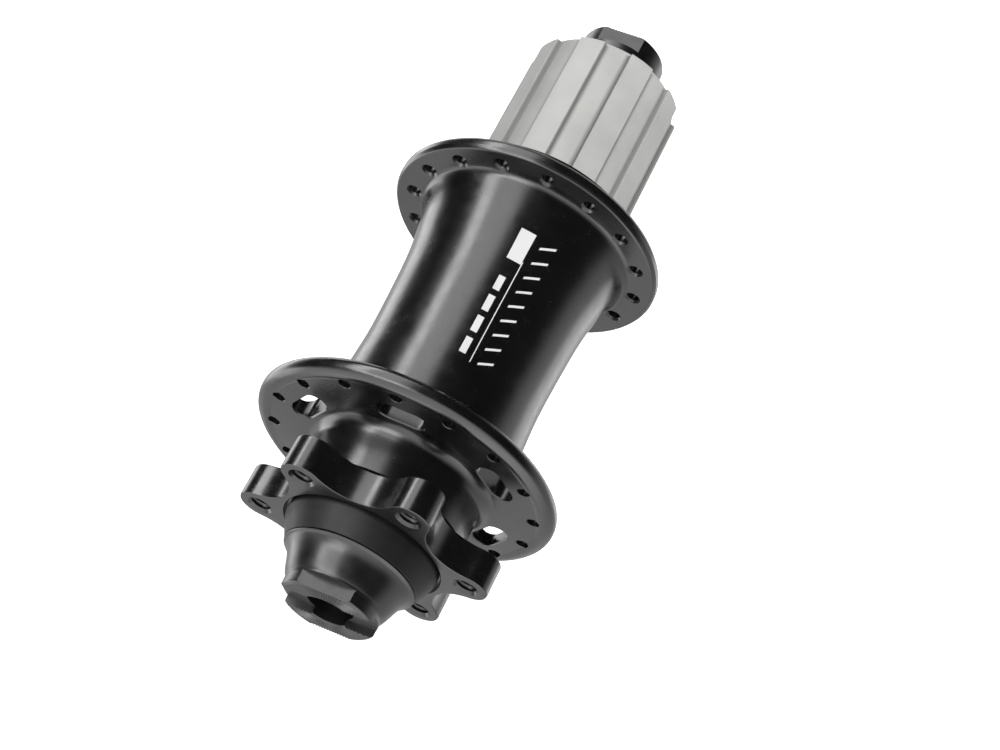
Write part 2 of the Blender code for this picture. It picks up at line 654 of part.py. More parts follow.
def build_freehub(materials, parent):
    """Splined body with the pawl carrier at its inboard end."""
    pitch = 360.0 / SPLINE_COUNT
    half = SPLINE_WIDTH / 2
    side = SPLINE_FLANK
    offsets = (-half - side, -half, 0.0, half, half + side)
    angles = [pitch * ridge + offset for ridge in range(SPLINE_COUNT) for offset in offsets]
    snap_low, snap_high = SNAP_RING_Y - SNAP_GROOVE_HALF, SNAP_RING_Y + SNAP_GROOVE_HALF
    outboard_stop = bearing_face("freehub_outboard_bearing", 1) + FIT
    inboard_stop = bearing_face("freehub_inboard_bearing", -1) - FIT
    carrier_bore_end = bearing_face("freehub_inboard_bearing", 1) + FIT
    profile = [
        (CARRIER_END_Y, CARRIER_BORE_R),
        (CARRIER_END_Y, CARRIER_R),
        (FREEHUB_SHOULDER_Y, CARRIER_R),
        (FREEHUB_SHOULDER_Y, FREEHUB_SHOULDER_R),
        (SPLINE_START_Y, FREEHUB_SHOULDER_R),
        (SPLINE_START_Y, spline_radius),
        (SPLINE_END_Y, spline_radius),
        (SPLINE_END_Y, FREEHUB_COLLAR_R),
        (FREEHUB_END_Y, FREEHUB_COLLAR_R),
        (FREEHUB_END_Y, FREEHUB_BORE_R),
        (snap_low, FREEHUB_BORE_R),
        (snap_low, SNAP_RING_GROOVE_R),
        (snap_high, SNAP_RING_GROOVE_R),
        (snap_high, FREEHUB_BORE_R),
        (outboard_stop, FREEHUB_BORE_R),
        (outboard_stop, FREEHUB_WEB_R),
        (inboard_stop, FREEHUB_WEB_R),
        (inboard_stop, FREEHUB_BORE_R),
        (carrier_bore_end, FREEHUB_BORE_R),
        (carrier_bore_end, CARRIER_BORE_R),
    ]
    body = add_object("freehub_body", turned(profile, angles), materials["blasted_aluminium"], parent)
    pockets = bmesh.new()
    for angle in even_angles(PAWL_COUNT, PAWL_PHASE):
        prism(turned_outline(pocket_outline(), angle), *PAWL_POCKET_Y, pockets)
    cut(body, pockets, "cut_pawl_pockets")


def build_ratchet_ring(materials, parent):
    """Hardened ring with internal saw teeth. Each ramp falls towards +angle."""
    pitch = 360.0 / TOOTH_COUNT
    contact = PAWL_PHASE - PAWL_SWEEP - PAWL_TIP_GAP
    angles = []
    inner = {}
    for tooth in range(TOOTH_COUNT):
        start = contact + pitch * tooth
        for share, radius in ((0.0, TOOTH_ROOT_R), (TOOTH_RAMP_SHARE, TOOTH_TIP_R)):
            angle = start + pitch * share
            angles.append(angle)
            inner[angle] = radius
    low, high = RATCHET_Y
    profile = [
        (high, RATCHET_OUTER_R),
        (low, RATCHET_OUTER_R),
        (low, inner.__getitem__),
        (high, inner.__getitem__),
    ]
    add_object("ratchet_ring", turned(profile, angles), materials["hardened_steel"], parent)


def build_pawl(number, materials, freehub_frame):
    """One pawl, with its origin on its own pivot, and the leaf spring beneath it."""
    angle = PAWL_PHASE + 360.0 * (number - 1) / PAWL_COUNT
    pivot = bpy.data.objects.new(f"pawl_{number}_pivot", None)
    pivot.location = at(PAWL_PIVOT_R, angle, sum(PAWL_Y) / 2)
    pivot.parent = freehub_frame
    bpy.context.scene.collection.objects.link(pivot)
    half = (PAWL_Y[1] - PAWL_Y[0]) / 2
    builder = prism(turned_outline(pawl_outline(), angle), -half, half)
    add_object(f"pawl_{number}", builder, materials["hardened_steel"], pivot)

    below = [polar(radius, -turn) for radius, turn in LEAF_CURVE]
    above = [polar(radius + LEAF_THICKNESS, -turn) for radius, turn in LEAF_CURVE]
    leaf = turned_outline(below + list(reversed(above)), angle)
    middle = sum(PAWL_Y) / 2
    builder = prism(leaf, middle - LEAF_HALF_WIDTH, middle + LEAF_HALF_WIDTH)
    add_object(f"pawl_spring_{number}", builder, materials["spring_steel"], freehub_frame)


def build_snap_ring(materials, parent):
    """Open internal ring that keeps the outboard bearing in the freehub."""
    span = 360.0 - SNAP_RING_OPENING
    turns = [SNAP_RING_OPENING / 2 + span * step / SNAP_RING_STEPS for step in range(SNAP_RING_STEPS + 1)]
    outline = [polar(SNAP_RING_GROOVE_R - FIT, turn) for turn in turns]
    outline += [polar(SNAP_RING_INNER_R, turn) for turn in reversed(turns)]
    builder = prism(outline, SNAP_RING_Y - SNAP_RING_HALF, SNAP_RING_Y + SNAP_RING_HALF)
    add_object("freehub_snap_ring", builder, materials["spring_steel"], parent)


def build_lip_seal(materials, parent):
    """Rubber seal in the mouth of the shell, round the neck of the freehub."""
    low, high = LIP_SEAL_Y
    profile = [
        (low, RATCHET_OUTER_R),
        (high, RATCHET_OUTER_R),
        (high, CARRIER_R + 0.8),
        ((low + high) / 2, CARRIER_R + 0.3),
        (low, CARRIER_R + 0.8),
    ]
    builder = turned(profile, even_angles(RING_SIDES))
    add_object("freehub_lip_seal", builder, materials["black_rubber"], parent)


# ---------------------------------------------------------------- assembly
def clear_scene():
    """Remove whatever the scene holds."""
    for obj in list(bpy.data.objects):
        bpy.data.objects.remove(obj, do_unlink=True)


def add_frame(name):
    """Empty at the origin, on the hub axis, that carries one moving group."""
    frame = bpy.data.objects.new(name, None)
    bpy.context.scene.collection.objects.link(frame)
    return frame


def build_hub():
    """The whole hub, group by group."""
    clear_scene()
    materials = make_materials()
    axle_frame = add_frame("axle_frame")
    shell_frame = add_frame("shell_frame")
    freehub_frame = add_frame("freehub_frame")

    build_axle(materials, axle_frame)
    build_o_ring("disc_cap_o_ring", DISC_O_RING_Y, materials, axle_frame)
    build_o_ring("drive_cap_o_ring", DRIVE_O_RING_Y, materials, axle_frame)
    build_spacers(materials, axle_frame)
    build_end_caps(materials, axle_frame)
    build_dust_cover(materials, axle_frame)

    build_shell(materials, shell_frame)
    build_ratchet_ring(materials, shell_frame)
    build_lip_seal(materials, shell_frame)

    build_freehub(materials, freehub_frame)
    build_snap_ring(materials, freehub_frame)
    for number in range(1, PAWL_COUNT + 1):
        build_pawl(number, materials, freehub_frame)

    for name in BEARINGS:
        ring_parent = freehub_frame if name.startswith("freehub") else shell_frame
        cage_frame = add_frame(name + "_cage_frame")
        build_bearing(name, materials, ring_parent, axle_frame, cage_frame)


build_hub()
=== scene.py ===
"""Looks of the bicycle rear hub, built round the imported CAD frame.

Metres, +Z up, +X forward, +Y to the disc side, origin on the hub axis. Lengths below are in
millimetres, as in the CAD, and angles run from +X towards +Z in degrees.
"""

import math

import bmesh
import bpy
from mathutils import Matrix, Quaternion, Vector


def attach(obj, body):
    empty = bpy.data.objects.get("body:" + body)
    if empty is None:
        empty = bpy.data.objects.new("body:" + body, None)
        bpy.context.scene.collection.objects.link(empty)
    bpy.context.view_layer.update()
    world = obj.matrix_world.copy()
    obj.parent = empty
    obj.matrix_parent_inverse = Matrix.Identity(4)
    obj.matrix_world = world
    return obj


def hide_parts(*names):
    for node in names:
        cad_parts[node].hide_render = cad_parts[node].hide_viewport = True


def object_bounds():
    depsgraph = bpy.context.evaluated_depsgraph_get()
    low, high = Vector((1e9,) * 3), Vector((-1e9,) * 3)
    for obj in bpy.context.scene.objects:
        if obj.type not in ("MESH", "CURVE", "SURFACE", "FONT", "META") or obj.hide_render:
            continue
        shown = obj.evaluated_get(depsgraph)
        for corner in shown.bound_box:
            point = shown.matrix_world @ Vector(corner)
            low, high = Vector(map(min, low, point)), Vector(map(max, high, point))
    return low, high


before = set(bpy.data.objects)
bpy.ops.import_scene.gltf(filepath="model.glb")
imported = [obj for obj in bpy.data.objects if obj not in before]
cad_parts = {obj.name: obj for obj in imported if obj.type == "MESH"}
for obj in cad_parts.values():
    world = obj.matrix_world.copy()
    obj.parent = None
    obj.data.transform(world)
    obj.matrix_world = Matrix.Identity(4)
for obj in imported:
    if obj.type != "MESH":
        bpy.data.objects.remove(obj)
cad_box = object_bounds()

MM = 0.001

# ---------------------------------------------------------------- dimensions, as in the CAD
FIT = 0.25
HALF_LENGTH = 74.0
BORE_R = 5.0
AXLE_SEAT_R = 8.25
AXLE_BODY_R = 9.75
AXLE_BORE_R = 6.25
AXLE_END_Y = (-65.75, 63.75)
BEARINGS = {            # bore radius, outer radius, width, centre y, balls, body of the outer ring
    "disc_bearing": (8.5, 15.0, 7.0, 53.9, 9, "hub_shell_assembly"),
    "drive_bearing": (8.5, 15.0, 7.0, -12.0, 9, "hub_shell_assembly"),
    "freehub_inboard_bearing": (8.5, 13.0, 5.0, -30.5, 11, "freehub_assembly"),
    "freehub_outboard_bearing": (8.5, 13.0, 5.0, -58.5, 11, "freehub_assembly"),
}
ROTOR_FACE_Y = 58.7
ROTOR_BACK_Y = 51.7
BOLT_CIRCLE_R = 22.0
LOBE_COUNT = 6
LOBE_R = 4.4
VALLEY_R = 18.0
THREAD_MINOR_R = 2.1
THREAD_MAJOR_R = 2.45
THREAD_PITCH = 0.8
SPOKES = 16
SPOKE_HOLE_R = 1.3
SPOKE_SINK_R = 1.75
SPOKE_PHASE = 0.8
DISC_SPOKES = (28.1, 37.2, 41.15)       # circle radius, inner and outer face of the flange
DRIVE_SPOKES = (25.5, -21.7, -18.5)
SLOT_COUNT = 6
SLOT_R = 22.7
SLOT_LENGTH = 10.4
SLOT_WIDTH = 4.6
SLOT_PHASE = 33.5
BARREL = (                              # (y, radius), from the disc flange to the drive flange
    (38.3, 24.0),
    (37.8, 22.7),
    (36.6, 21.35),
    (34.2, 20.4),
    (30.5, 19.9),
    (24.0, 19.45),
    (14.5, 19.2),
    (-2.0, 19.9),
    (-11.0, 21.1),
    (-15.4, 22.0),
    (-17.2, 22.6),
    (-18.1, 23.25),
    (-18.43, 23.85),
    (-18.5, 24.4),
)
BARREL_STEPS = 6
SPLINES = 9
SPLINE_TIP_R = 17.3
SPLINE_ROOT_R = 16.2
SPLINE_WALL = (9.2, 1.8)                # degrees from a ridge's centre line, and the wall's width
SPLINE_Y = (-62.3, -28.3)
TOOTH_COUNT = 36
TOOTH_OUTLINE = ((0.0, 17.3), (0.25, 16.98), (0.5, 16.6), (0.92, 16.0))     # share of pitch, radius
RATCHET_Y = (-24.6, -17.15)
RATCHET_OUTER_R = 19.15
PAWL_COUNT = 4
PAWL_PHASE = 20.0                       # degrees to pawl 1's pivot
PAWL_TIP_LAG = 24.0                     # degrees from a pawl's pivot back to its tip
TIP_GAP = 1.8                           # degrees that a tip stands short of the tooth face
RING_LAND = 0.325                       # share of a bearing's height that each ring takes
RING_CHAMFER = 0.3
RACE_PLAY = 0.3                         # by which a race's radius is more than a ball's
CAGE_HALF_WIDTH = 1.15
CAGE_HALF_HEIGHT = 0.45
POCKET_Y = (-24.6, -18.4)
CUT_PAST = 1.0                          # how far a cutter reaches past a face
CAP_CUT_HALF = 14.0                     # half width of the cutters across an end cap
CAP_CUT_END = 75.5                      # y that they reach, past the end face

# ---------------------------------------------------------------- light, and painted shade
# Each range below is a smooth step: from and to, then the value before and after it. The floor,
# the lamps and the camera are in metres.
HORIZON = (-0.35, 0.02, 0.7, 0.012)     # the room as mirrored, by height of the direction
END_GLOW = (0.45, 0.95, 0.0, 1.6)       # added to it towards the disc side
FILL_SIDE = (-0.375, 0.0, 0.927)        # where the light on matt surfaces comes from
SOFT_FILL = (0.7, 0.9, 0.2, 2.6)        # that light, by how far a direction points that way
GROOVE_SHADE_RISE = (-0.62, -0.1, 0.0, 1.0)  # painted shade in the grooves, by a wave, 1 on a ridge and -1 in a groove: it grows towards the wall's foot and fades up the wall
GROOVE_SHADE_FALL = (-0.04, 0.14, 1.0, 0.0)  # it grows towards the wall's foot and fades up the wall
# Painted shade in the freehub's grooves: the colour that it darkens the base towards, the y span
# that it covers, and the fade at each end of that span.
GROOVE_SHADE_COLOUR = (0.24, 0.24, 0.234, 1.0)
GROOVE_SHADE_Y = (-62.55, -28.2)
GROOVE_SHADE_FADE = 0.2
NOISE_MIDDLE = (0.3, 0.7)               # the part of its range that a noise mostly stays in
WHITE = (1.0, 1.0, 1.0, 1.0)
# Lamps: name, angle round the hub, distance, centre y, width, length, power in watts.
SOFT_BOXES = (
    ("key_strip", 48.0, 0.8, -0.3, 0.18, 1.8, 7.0),
    ("key_shoulder", 71.0, 0.8, -0.3, 0.36, 1.8, 5.2),
    ("end_strip", 66.0, 0.8, 0.78, 0.45, 0.6, 3.6),
    ("low_strip_forward", -24.0, 0.8, -0.3, 0.34, 1.8, 4.2),
    ("low_strip_rear", 236.0, 0.8, -0.75, 0.46, 1.0, 1.7),
)
FLOOR_HALF_SIZE = 12.0
FLOOR_DROP = 0.0006                     # clear of the hub's lowest point
CAMERA_SPOT = (-0.1025, 0.2127, 0.3600)
CAMERA_AIM = (-0.0069, 0.0090, -0.0068)
CAMERA_ROLL = -1.27
CAMERA_LENS = 75.4
CAMERA_SENSOR = 36.0


# ---------------------------------------------------------------- mesh helpers
def polar(radius, angle):
    turn = math.radians(angle)
    return radius * math.cos(turn), radius * math.sin(turn)


def at(radius, angle, y):
    x, z = polar(radius, angle)
    return Vector((x, y, z)) * MM


def even_angles(count, phase=0.0):
    return [phase + 360.0 * step / count for step in range(count)]


def rounded(profile, steps=5):
    """Closed (y, radius, fillet) profile with each corner that has a fillet turned into an arc."""
    points = [tuple(point) + (0.0,) * (3 - len(point)) for point in profile]
    result = []
    for index, (y, radius, fillet) in enumerate(points):
        before, after = points[index - 1], points[(index + 1) % len(points)]
        if not fillet:
            result.append((y, radius))
            continue
        corner = Vector((y, radius))
        back = Vector(before[:2]) - corner
        ahead = Vector(after[:2]) - corner
        opening = back.angle(ahead)
        reach = min(fillet / math.tan(opening / 2), back.length * 0.48, ahead.length * 0.48)
        start = corner + back.normalized() * reach
        end = corner + ahead.normalized() * reach
        for step in range(steps + 1):
            share = step / steps
            bend = (1 - share) ** 2 * start + 2 * share * (1 - share) * corner + share ** 2 * end
            result.append(tuple(bend))
    return result


def flowing(points, steps=5):
    """Smooth curve through (y, radius) points."""
    path = [Vector(point) for point in points]
    path = [2 * path[0] - path[1]] + path + [2 * path[-1] - path[-2]]
    result = []
    for index in range(1, len(path) - 2):
        first, start, end, last = path[index - 1:index + 3]
        for step in range(steps):
            t = step / steps
            bend = (
                2 * start
                + (end - first) * t
                + (2 * first - 5 * start + 4 * end - last) * t ** 2
                + (3 * start - first - 3 * end + last) * t ** 3
            ) / 2
            result.append(tuple(bend))
    result.append(tuple(points[-1]))
    return result


def turned(profile, angles):
    """Ring turned about the hub axis. y and radius may each be a function of the angle."""
    builder = bmesh.new()
    rows = [
        [
            builder.verts.new(
                at(r(angle) if callable(r) else r, angle, y(angle) if callable(y) else y)
            )
            for y, r in profile
        ]
        for angle in angles
    ]
    for index, row in enumerate(rows):
        following = rows[(index + 1) % len(rows)]
        for corner in range(len(profile)):
            beyond = (corner + 1) % len(profile)
            builder.faces.new((row[corner], row[beyond], following[beyond], following[corner]))
    return builder


def loft(layers, builder=None):
    """Solid through several (x, z) outlines, each at its own y."""
    builder = builder or bmesh.new()
    rings = [[builder.verts.new(Vector((x, y, z)) * MM) for x, z in line] for y, line in layers]
    faces = [builder.faces.new(rings[0]), builder.faces.new(list(reversed(rings[-1])))]
    for low, high in zip(rings, rings[1:]):
        for index in range(len(low)):
            beyond = (index + 1) % len(low)
            faces.append(builder.faces.new((low[beyond], low[index], high[index], high[beyond])))
    bmesh.ops.recalc_face_normals(builder, faces=faces)
    return builder


def circle(centre_r, angle, radius, sides):
    """(x, z) outline of a circle whose centre is a polar point."""
    centre_x, centre_z = polar(centre_r, angle)
    corners = [polar(radius, turn) for turn in even_angles(sides, angle + 90.0 / sides)]
    return [(centre_x + x, centre_z + z) for x, z in corners]


def mesh_object(name, builder):
    bmesh.ops.recalc_face_normals(builder, faces=builder.faces)
    mesh = bpy.data.meshes.new(name)
    builder.to_mesh(mesh)
    builder.free()
    obj = bpy.data.objects.new(name, mesh)
    bpy.context.scene.collection.objects.link(obj)
    return obj


def drop_flaps(mesh, passes=4):
    """Dissolve corners that two faces would both clip off as the same triangle.

    Such a pair of triangles is a flap with no thickness once the mesh is cut into triangles."""
    for _ in range(passes):
        mesh.calc_loop_triangles()
        seen, flaps = set(), set()
        for triangle in mesh.loop_triangles:
            corners = frozenset(triangle.vertices)
            if corners in seen:
                flaps.update(corners)
            seen.add(corners)
        if not flaps:
            return
        builder = bmesh.new()
        builder.from_mesh(mesh)
        shared = [
            vertex for vertex in builder.verts
            if vertex.index in flaps and len(vertex.link_edges) == 2
        ]
        bmesh.ops.dissolve_verts(builder, verts=shared)
        builder.to_mesh(mesh)
        builder.free()


def carve(obj, *builders, operation="DIFFERENCE"):
    """Cut solids away from obj, or join them to it, and keep only the result."""
    tools = []
    for number, builder in enumerate(builders):
        tool = mesh_object(f"{obj.name}_tool_{number}", builder)
        tools.append(tool)
        modifier = obj.modifiers.new(tool.name, "BOOLEAN")
        modifier.operation = operation
        modifier.solver = "EXACT"
        modifier.object = tool
    graph = bpy.context.evaluated_depsgraph_get()
    result = bpy.data.meshes.new_from_object(obj.evaluated_get(graph))
    obj.modifiers.clear()
    drop_flaps(result)
    obj.data = result
    for tool in tools:
        bpy.data.objects.remove(tool, do_unlink=True)


def shade(obj, angle=28.0):
    """Smooth shading that keeps sharp edges, with flat faces kept flat."""
    obj.data.shade_smooth()
    obj.data.set_sharp_from_angle(angle=math.radians(angle))
    weighted = obj.modifiers.new("weighted_normals", "WEIGHTED_NORMAL")
    weighted.keep_sharp = True
    weighted.weight = 80


def place(obj, body, material, replaced=()):
    """Finish a piece, set it on its body and hide the CAD nodes that it stands for."""
    obj.data.materials.clear()
    obj.data.materials.append(material)
    shade(obj)
    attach(obj, body)
    if replaced:
        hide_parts(*replaced)


# ---------------------------------------------------------------- materials
def node(tree, kind, **settings):
    made = tree.nodes.new(kind)
    for name, value in settings.items():
        setattr(made, name, value)
    return made


def noise(tree, vector, scale, detail=3.0):
    made = node(tree, "ShaderNodeTexNoise")
    made.inputs["Scale"].default_value = scale
    made.inputs["Detail"].default_value = detail
    tree.links.new(vector, made.inputs["Vector"])
    return made.outputs["Fac"]


def ramp(tree, value, limits, interpolation="SMOOTHSTEP"):
    """Step between two values of an input: from and to, then the value before and after."""
    step = node(tree, "ShaderNodeMapRange", interpolation_type=interpolation)
    for name, number in zip(("From Min", "From Max", "To Min", "To Max"), limits):
        step.inputs[name].default_value = number
    tree.links.new(value, step.inputs["Value"])
    return step.outputs["Result"]


def spread(tree, value, low, high):
    """Map the middle of a noise to low..high."""
    return ramp(tree, value, (*NOISE_MIDDLE, low, high), "LINEAR")


def product(tree, first, second):
    made = node(tree, "ShaderNodeMath", operation="MULTIPLY")
    tree.links.new(first, made.inputs[0])
    tree.links.new(second, made.inputs[1])
    return made.outputs[0]


def bump(tree, height, distance, strength, before=None):
    made = node(tree, "ShaderNodeBump")
    made.inputs["Distance"].default_value = distance
    made.inputs["Strength"].default_value = strength
    tree.links.new(height, made.inputs["Height"])
    if before:
        tree.links.new(before, made.inputs["Normal"])
    return made.outputs["Normal"]


def lathe_vector(tree, position):
    """(radius, y, 0): the same all round a ring, as tool marks on turned metal are."""
    flat = node(tree, "ShaderNodeVectorMath", operation="MULTIPLY")
    flat.inputs[1].default_value = (1.0, 0.0, 1.0)
    tree.links.new(position, flat.inputs[0])
    radius = node(tree, "ShaderNodeVectorMath", operation="LENGTH")
    tree.links.new(flat.outputs["Vector"], radius.inputs[0])
    parts = node(tree, "ShaderNodeSeparateXYZ")
    tree.links.new(position, parts.inputs[0])
    both = node(tree, "ShaderNodeCombineXYZ")
    tree.links.new(radius.outputs["Value"], both.inputs["X"])
    tree.links.new(parts.outputs["Y"], both.inputs["Y"])
    return both.outputs["Vector"]


def surface(name, dark, light, roughness, metallic, ior=1.5, mottle=90.0, grain=None, turning=None):
    """A finish: mottled colour, uneven roughness, and a bump of grain and of turning marks.

    grain and turning are (scale per metre, height in metres, strength)."""
    material = bpy.data.materials.new(name)
    material.use_nodes = True
    tree = material.node_tree
    shader = tree.nodes["Principled BSDF"]
    shader.inputs["Metallic"].default_value = metallic
    shader.inputs["IOR"].default_value = ior
    position = node(tree, "ShaderNodeTexCoord").outputs["Object"]
    patches = noise(tree, position, mottle)
    tint = node(tree, "ShaderNodeMix", data_type="RGBA")
    tint.inputs["A"].default_value = (*dark, 1.0)
    tint.inputs["B"].default_value = (*light, 1.0)
    tree.links.new(spread(tree, patches, 0.0, 1.0), tint.inputs["Factor"])
    tree.links.new(tint.outputs["Result"], shader.inputs["Base Color"])
    smudges = noise(tree, position, mottle * 4.0, 5.0)
    tree.links.new(spread(tree, smudges, *roughness), shader.inputs["Roughness"])
    normal = None
    if turning:
        rings = noise(tree, lathe_vector(tree, position), turning[0], 2.0)
        normal = bump(tree, rings, turning[1], turning[2], normal)
    if grain:
        normal = bump(tree, noise(tree, position, grain[0], 4.0), grain[1], grain[2], normal)
    if normal:
        tree.links.new(normal, shader.inputs["Normal"])
    return material


def paint_groove_shade(material):
    """Painted shade: a darker base colour in the corners of the freehub's grooves, over the length
    that they run.
    """
    tree = material.node_tree
    shader = tree.nodes["Principled BSDF"]
    tint = shader.inputs["Base Color"].links[0].from_socket
    parts = node(tree, "ShaderNodeSeparateXYZ")
    tree.links.new(node(tree, "ShaderNodeTexCoord").outputs["Object"], parts.inputs[0])
    angle = node(tree, "ShaderNodeMath", operation="ARCTAN2")
    tree.links.new(parts.outputs["Z"], angle.inputs[0])
    tree.links.new(parts.outputs["X"], angle.inputs[1])
    turns = node(tree, "ShaderNodeMath", operation="MULTIPLY")
    turns.inputs[1].default_value = float(SPLINES)
    tree.links.new(angle.outputs[0], turns.inputs[0])
    wave = node(tree, "ShaderNodeMath", operation="COSINE")
    tree.links.new(turns.outputs[0], wave.inputs[0])
    rise, fall = (ramp(tree, wave.outputs[0], limits) for limits in (GROOVE_SHADE_RISE, GROOVE_SHADE_FALL))
    share = product(tree, rise, fall)
    low, high = (y * MM for y in GROOVE_SHADE_Y)
    fade = GROOVE_SHADE_FADE * MM
    for limits in ((low, low + fade, 0.0, 1.0), (high - fade, high, 1.0, 0.0)):
        share = product(tree, share, ramp(tree, parts.outputs["Y"], limits))
    mix = node(tree, "ShaderNodeMix", data_type="RGBA")
    tree.links.new(share, mix.inputs["Factor"])
    tree.links.new(tint, mix.inputs["A"])
    mix.inputs["B"].default_value = GROOVE_SHADE_COLOUR
    tree.links.new(mix.outputs["Result"], shader.inputs["Base Color"])


ANODISED = surface(
    "black_anodised_finish", (0.003, 0.003, 0.0035), (0.005, 0.005, 0.0056), (0.21, 0.28), 0.0,
    ior=1.75, turning=(2600.0, 0.00001, 0.10), grain=(9000.0, 0.000005, 0.08),
)
CAP_ANODISED = surface(
    "cap_anodised_finish", (0.003, 0.003, 0.0034), (0.006, 0.006, 0.0065), (0.28, 0.37), 0.0,
    ior=1.75, turning=(3200.0, 0.00001, 0.14), grain=(9000.0, 0.000005, 0.06),
)
SATIN_BLACK = surface(
    "satin_black_finish", (0.012, 0.012, 0.013), (0.02, 0.02, 0.021), (0.3, 0.4), 0.0,
    ior=1.6, turning=(3000.0, 0.00001, 0.2), grain=(7000.0, 0.00001, 0.15),
)
BLASTED = surface(
    "blasted_aluminium_finish", (0.50, 0.50, 0.485), (0.56, 0.56, 0.545), (0.46, 0.58), 0.06,
    ior=1.4, mottle=140.0, grain=(5200.0, 0.00003, 0.22),
)
# painted shade in the corners of the freehub's grooves
paint_groove_shade(BLASTED)
RUBBER = surface(
    "rubber_finish", (0.004, 0.004, 0.0044), (0.006, 0.006, 0.0065), (0.46, 0.56), 0.0,
    ior=1.45, grain=(6500.0, 0.00003, 0.25),
)
GROUND_STEEL = surface(
    "ground_steel_finish", (0.56, 0.56, 0.57), (0.64, 0.64, 0.65), (0.12, 0.2), 1.0,
    turning=(5200.0, 0.000008, 0.2),
)
HARDENED_STEEL = surface(
    "hardened_steel_finish", (0.26, 0.255, 0.25), (0.37, 0.36, 0.35), (0.28, 0.42), 1.0,
    mottle=260.0, grain=(5200.0, 0.00001, 0.2),
)
SPRING_STEEL = surface(
    "spring_steel_finish", (0.40, 0.41, 0.44), (0.5, 0.51, 0.53), (0.2, 0.3), 1.0,
    mottle=300.0, grain=(3000.0, 0.000004, 0.05),
)
WHITE_INK = surface(
    "white_ink_finish", (0.76, 0.76, 0.76), (0.82, 0.82, 0.82), (0.4, 0.5), 0.0,
    grain=(9000.0, 0.000004, 0.1),
)


# ---------------------------------------------------------------- hub shell
def mount_circles(inset):
    """Radius of a lobe, radius of a scallop and the scallop's centre, for an outline moved in."""
    reach = BOLT_CIRCLE_R * math.cos(math.pi / LOBE_COUNT)
    scallop_r = (BOLT_CIRCLE_R ** 2 + VALLEY_R ** 2 - 2 * reach * VALLEY_R - LOBE_R ** 2) / (
        2 * (LOBE_R - VALLEY_R + reach)
    )
    return LOBE_R - inset, scallop_r + inset, VALLEY_R + scallop_r


def mount_touch(inset=0.0):
    """Angle from a lobe's centre line at which the lobe meets the scallop."""
    lobe_r, scallop_r, scallop_centre = mount_circles(inset)
    share = lobe_r / (lobe_r + scallop_r)
    half = math.pi / LOBE_COUNT
    x = BOLT_CIRCLE_R + share * (scallop_centre * math.cos(half) - BOLT_CIRCLE_R)
    return math.degrees(math.atan2(share * scallop_centre * math.sin(half), x))


def mount_radius(inset):
    """Radius of the six-lobe outline as a function of the angle, moved in by inset."""
    lobe_r, scallop_r, scallop_centre = mount_circles(inset)
    touch = mount_touch(inset)
    pitch = 360.0 / LOBE_COUNT

    def radius(angle):
        turn = abs((angle + pitch / 2) % pitch - pitch / 2)
        if turn <= touch:
            aside = BOLT_CIRCLE_R * math.sin(math.radians(turn))
            along = BOLT_CIRCLE_R * math.cos(math.radians(turn))
            return along + math.sqrt(max(lobe_r ** 2 - aside ** 2, 0.0))
        away = math.radians(pitch / 2 - turn)
        aside = scallop_centre * math.sin(away)
        return scallop_centre * math.cos(away) - math.sqrt(max(scallop_r ** 2 - aside ** 2, 0.0))

    return radius


def mount_angles(lobe_steps=12, scallop_steps=10):
    """Angles that space points evenly along the lobed outline."""
    lobe_r, scallop_r, scallop_centre = mount_circles(0.0)
    pitch = 360.0 / LOBE_COUNT
    touch_x, touch_z = polar(mount_radius(0.0)(mount_touch()), mount_touch())
    turn_lobe = math.atan2(touch_z, touch_x - BOLT_CIRCLE_R)
    offsets = []
    for step in range(lobe_steps + 1):
        turn = turn_lobe * step / lobe_steps
        x, z = BOLT_CIRCLE_R + lobe_r * math.cos(turn), lobe_r * math.sin(turn)
        offsets.append(math.degrees(math.atan2(z, x)))
    centre_x, centre_z = polar(scallop_centre, pitch / 2)
    turn_scallop = math.atan2(touch_z - centre_z, touch_x - centre_x)
    turn_middle = math.atan2(-centre_z, -centre_x)
    if turn_scallop > 0:
        turn_scallop -= 2 * math.pi
    for step in range(1, scallop_steps + 1):
        turn = turn_scallop + (turn_middle - turn_scallop) * step / scallop_steps
        x, z = centre_x + scallop_r * math.cos(turn), centre_z + scallop_r * math.sin(turn)
        offsets.append(math.degrees(math.atan2(z, x)))
    half = sorted(offsets)
    whole = [-offset for offset in reversed(half[1:-1])] + half
    return [pitch * lobe + offset for lobe in range(LOBE_COUNT) for offset in whole]


def thread_cutter(builder, angle):
    """A threaded hole right through the rotor mount, with a chamfer at each mouth."""
    chamfer = 0.6
    y = ROTOR_BACK_Y + chamfer
    layers = [(ROTOR_BACK_Y - CUT_PAST, 2.9), (ROTOR_BACK_Y, 2.75), (y, THREAD_MINOR_R)]
    while y + THREAD_PITCH < ROTOR_FACE_Y - chamfer:
        layers += [(y + THREAD_PITCH / 2, THREAD_MAJOR_R), (y + THREAD_PITCH, THREAD_MINOR_R)]
        y += THREAD_PITCH
    layers += [
        (ROTOR_FACE_Y - 0.55, THREAD_MINOR_R), (ROTOR_FACE_Y, 2.72), (ROTOR_FACE_Y + CUT_PAST, 3.4),
    ]
    loft([(y, circle(BOLT_CIRCLE_R, angle, radius, 24)) for y, radius in layers], builder)


def spoke_cutter(builder, circle_r, y_low, y_high, angle):
    """A spoke hole through a flange, countersunk on both sides."""
    sink = SPOKE_SINK_R - SPOKE_HOLE_R
    layers = (
        (y_low - CUT_PAST, SPOKE_SINK_R + CUT_PAST),
        (y_low + sink, SPOKE_HOLE_R),
        (y_high - sink, SPOKE_HOLE_R),
        (y_high + CUT_PAST, SPOKE_SINK_R + CUT_PAST),
    )
    loft([(y, circle(circle_r, angle, radius, 20)) for y, radius in layers], builder)


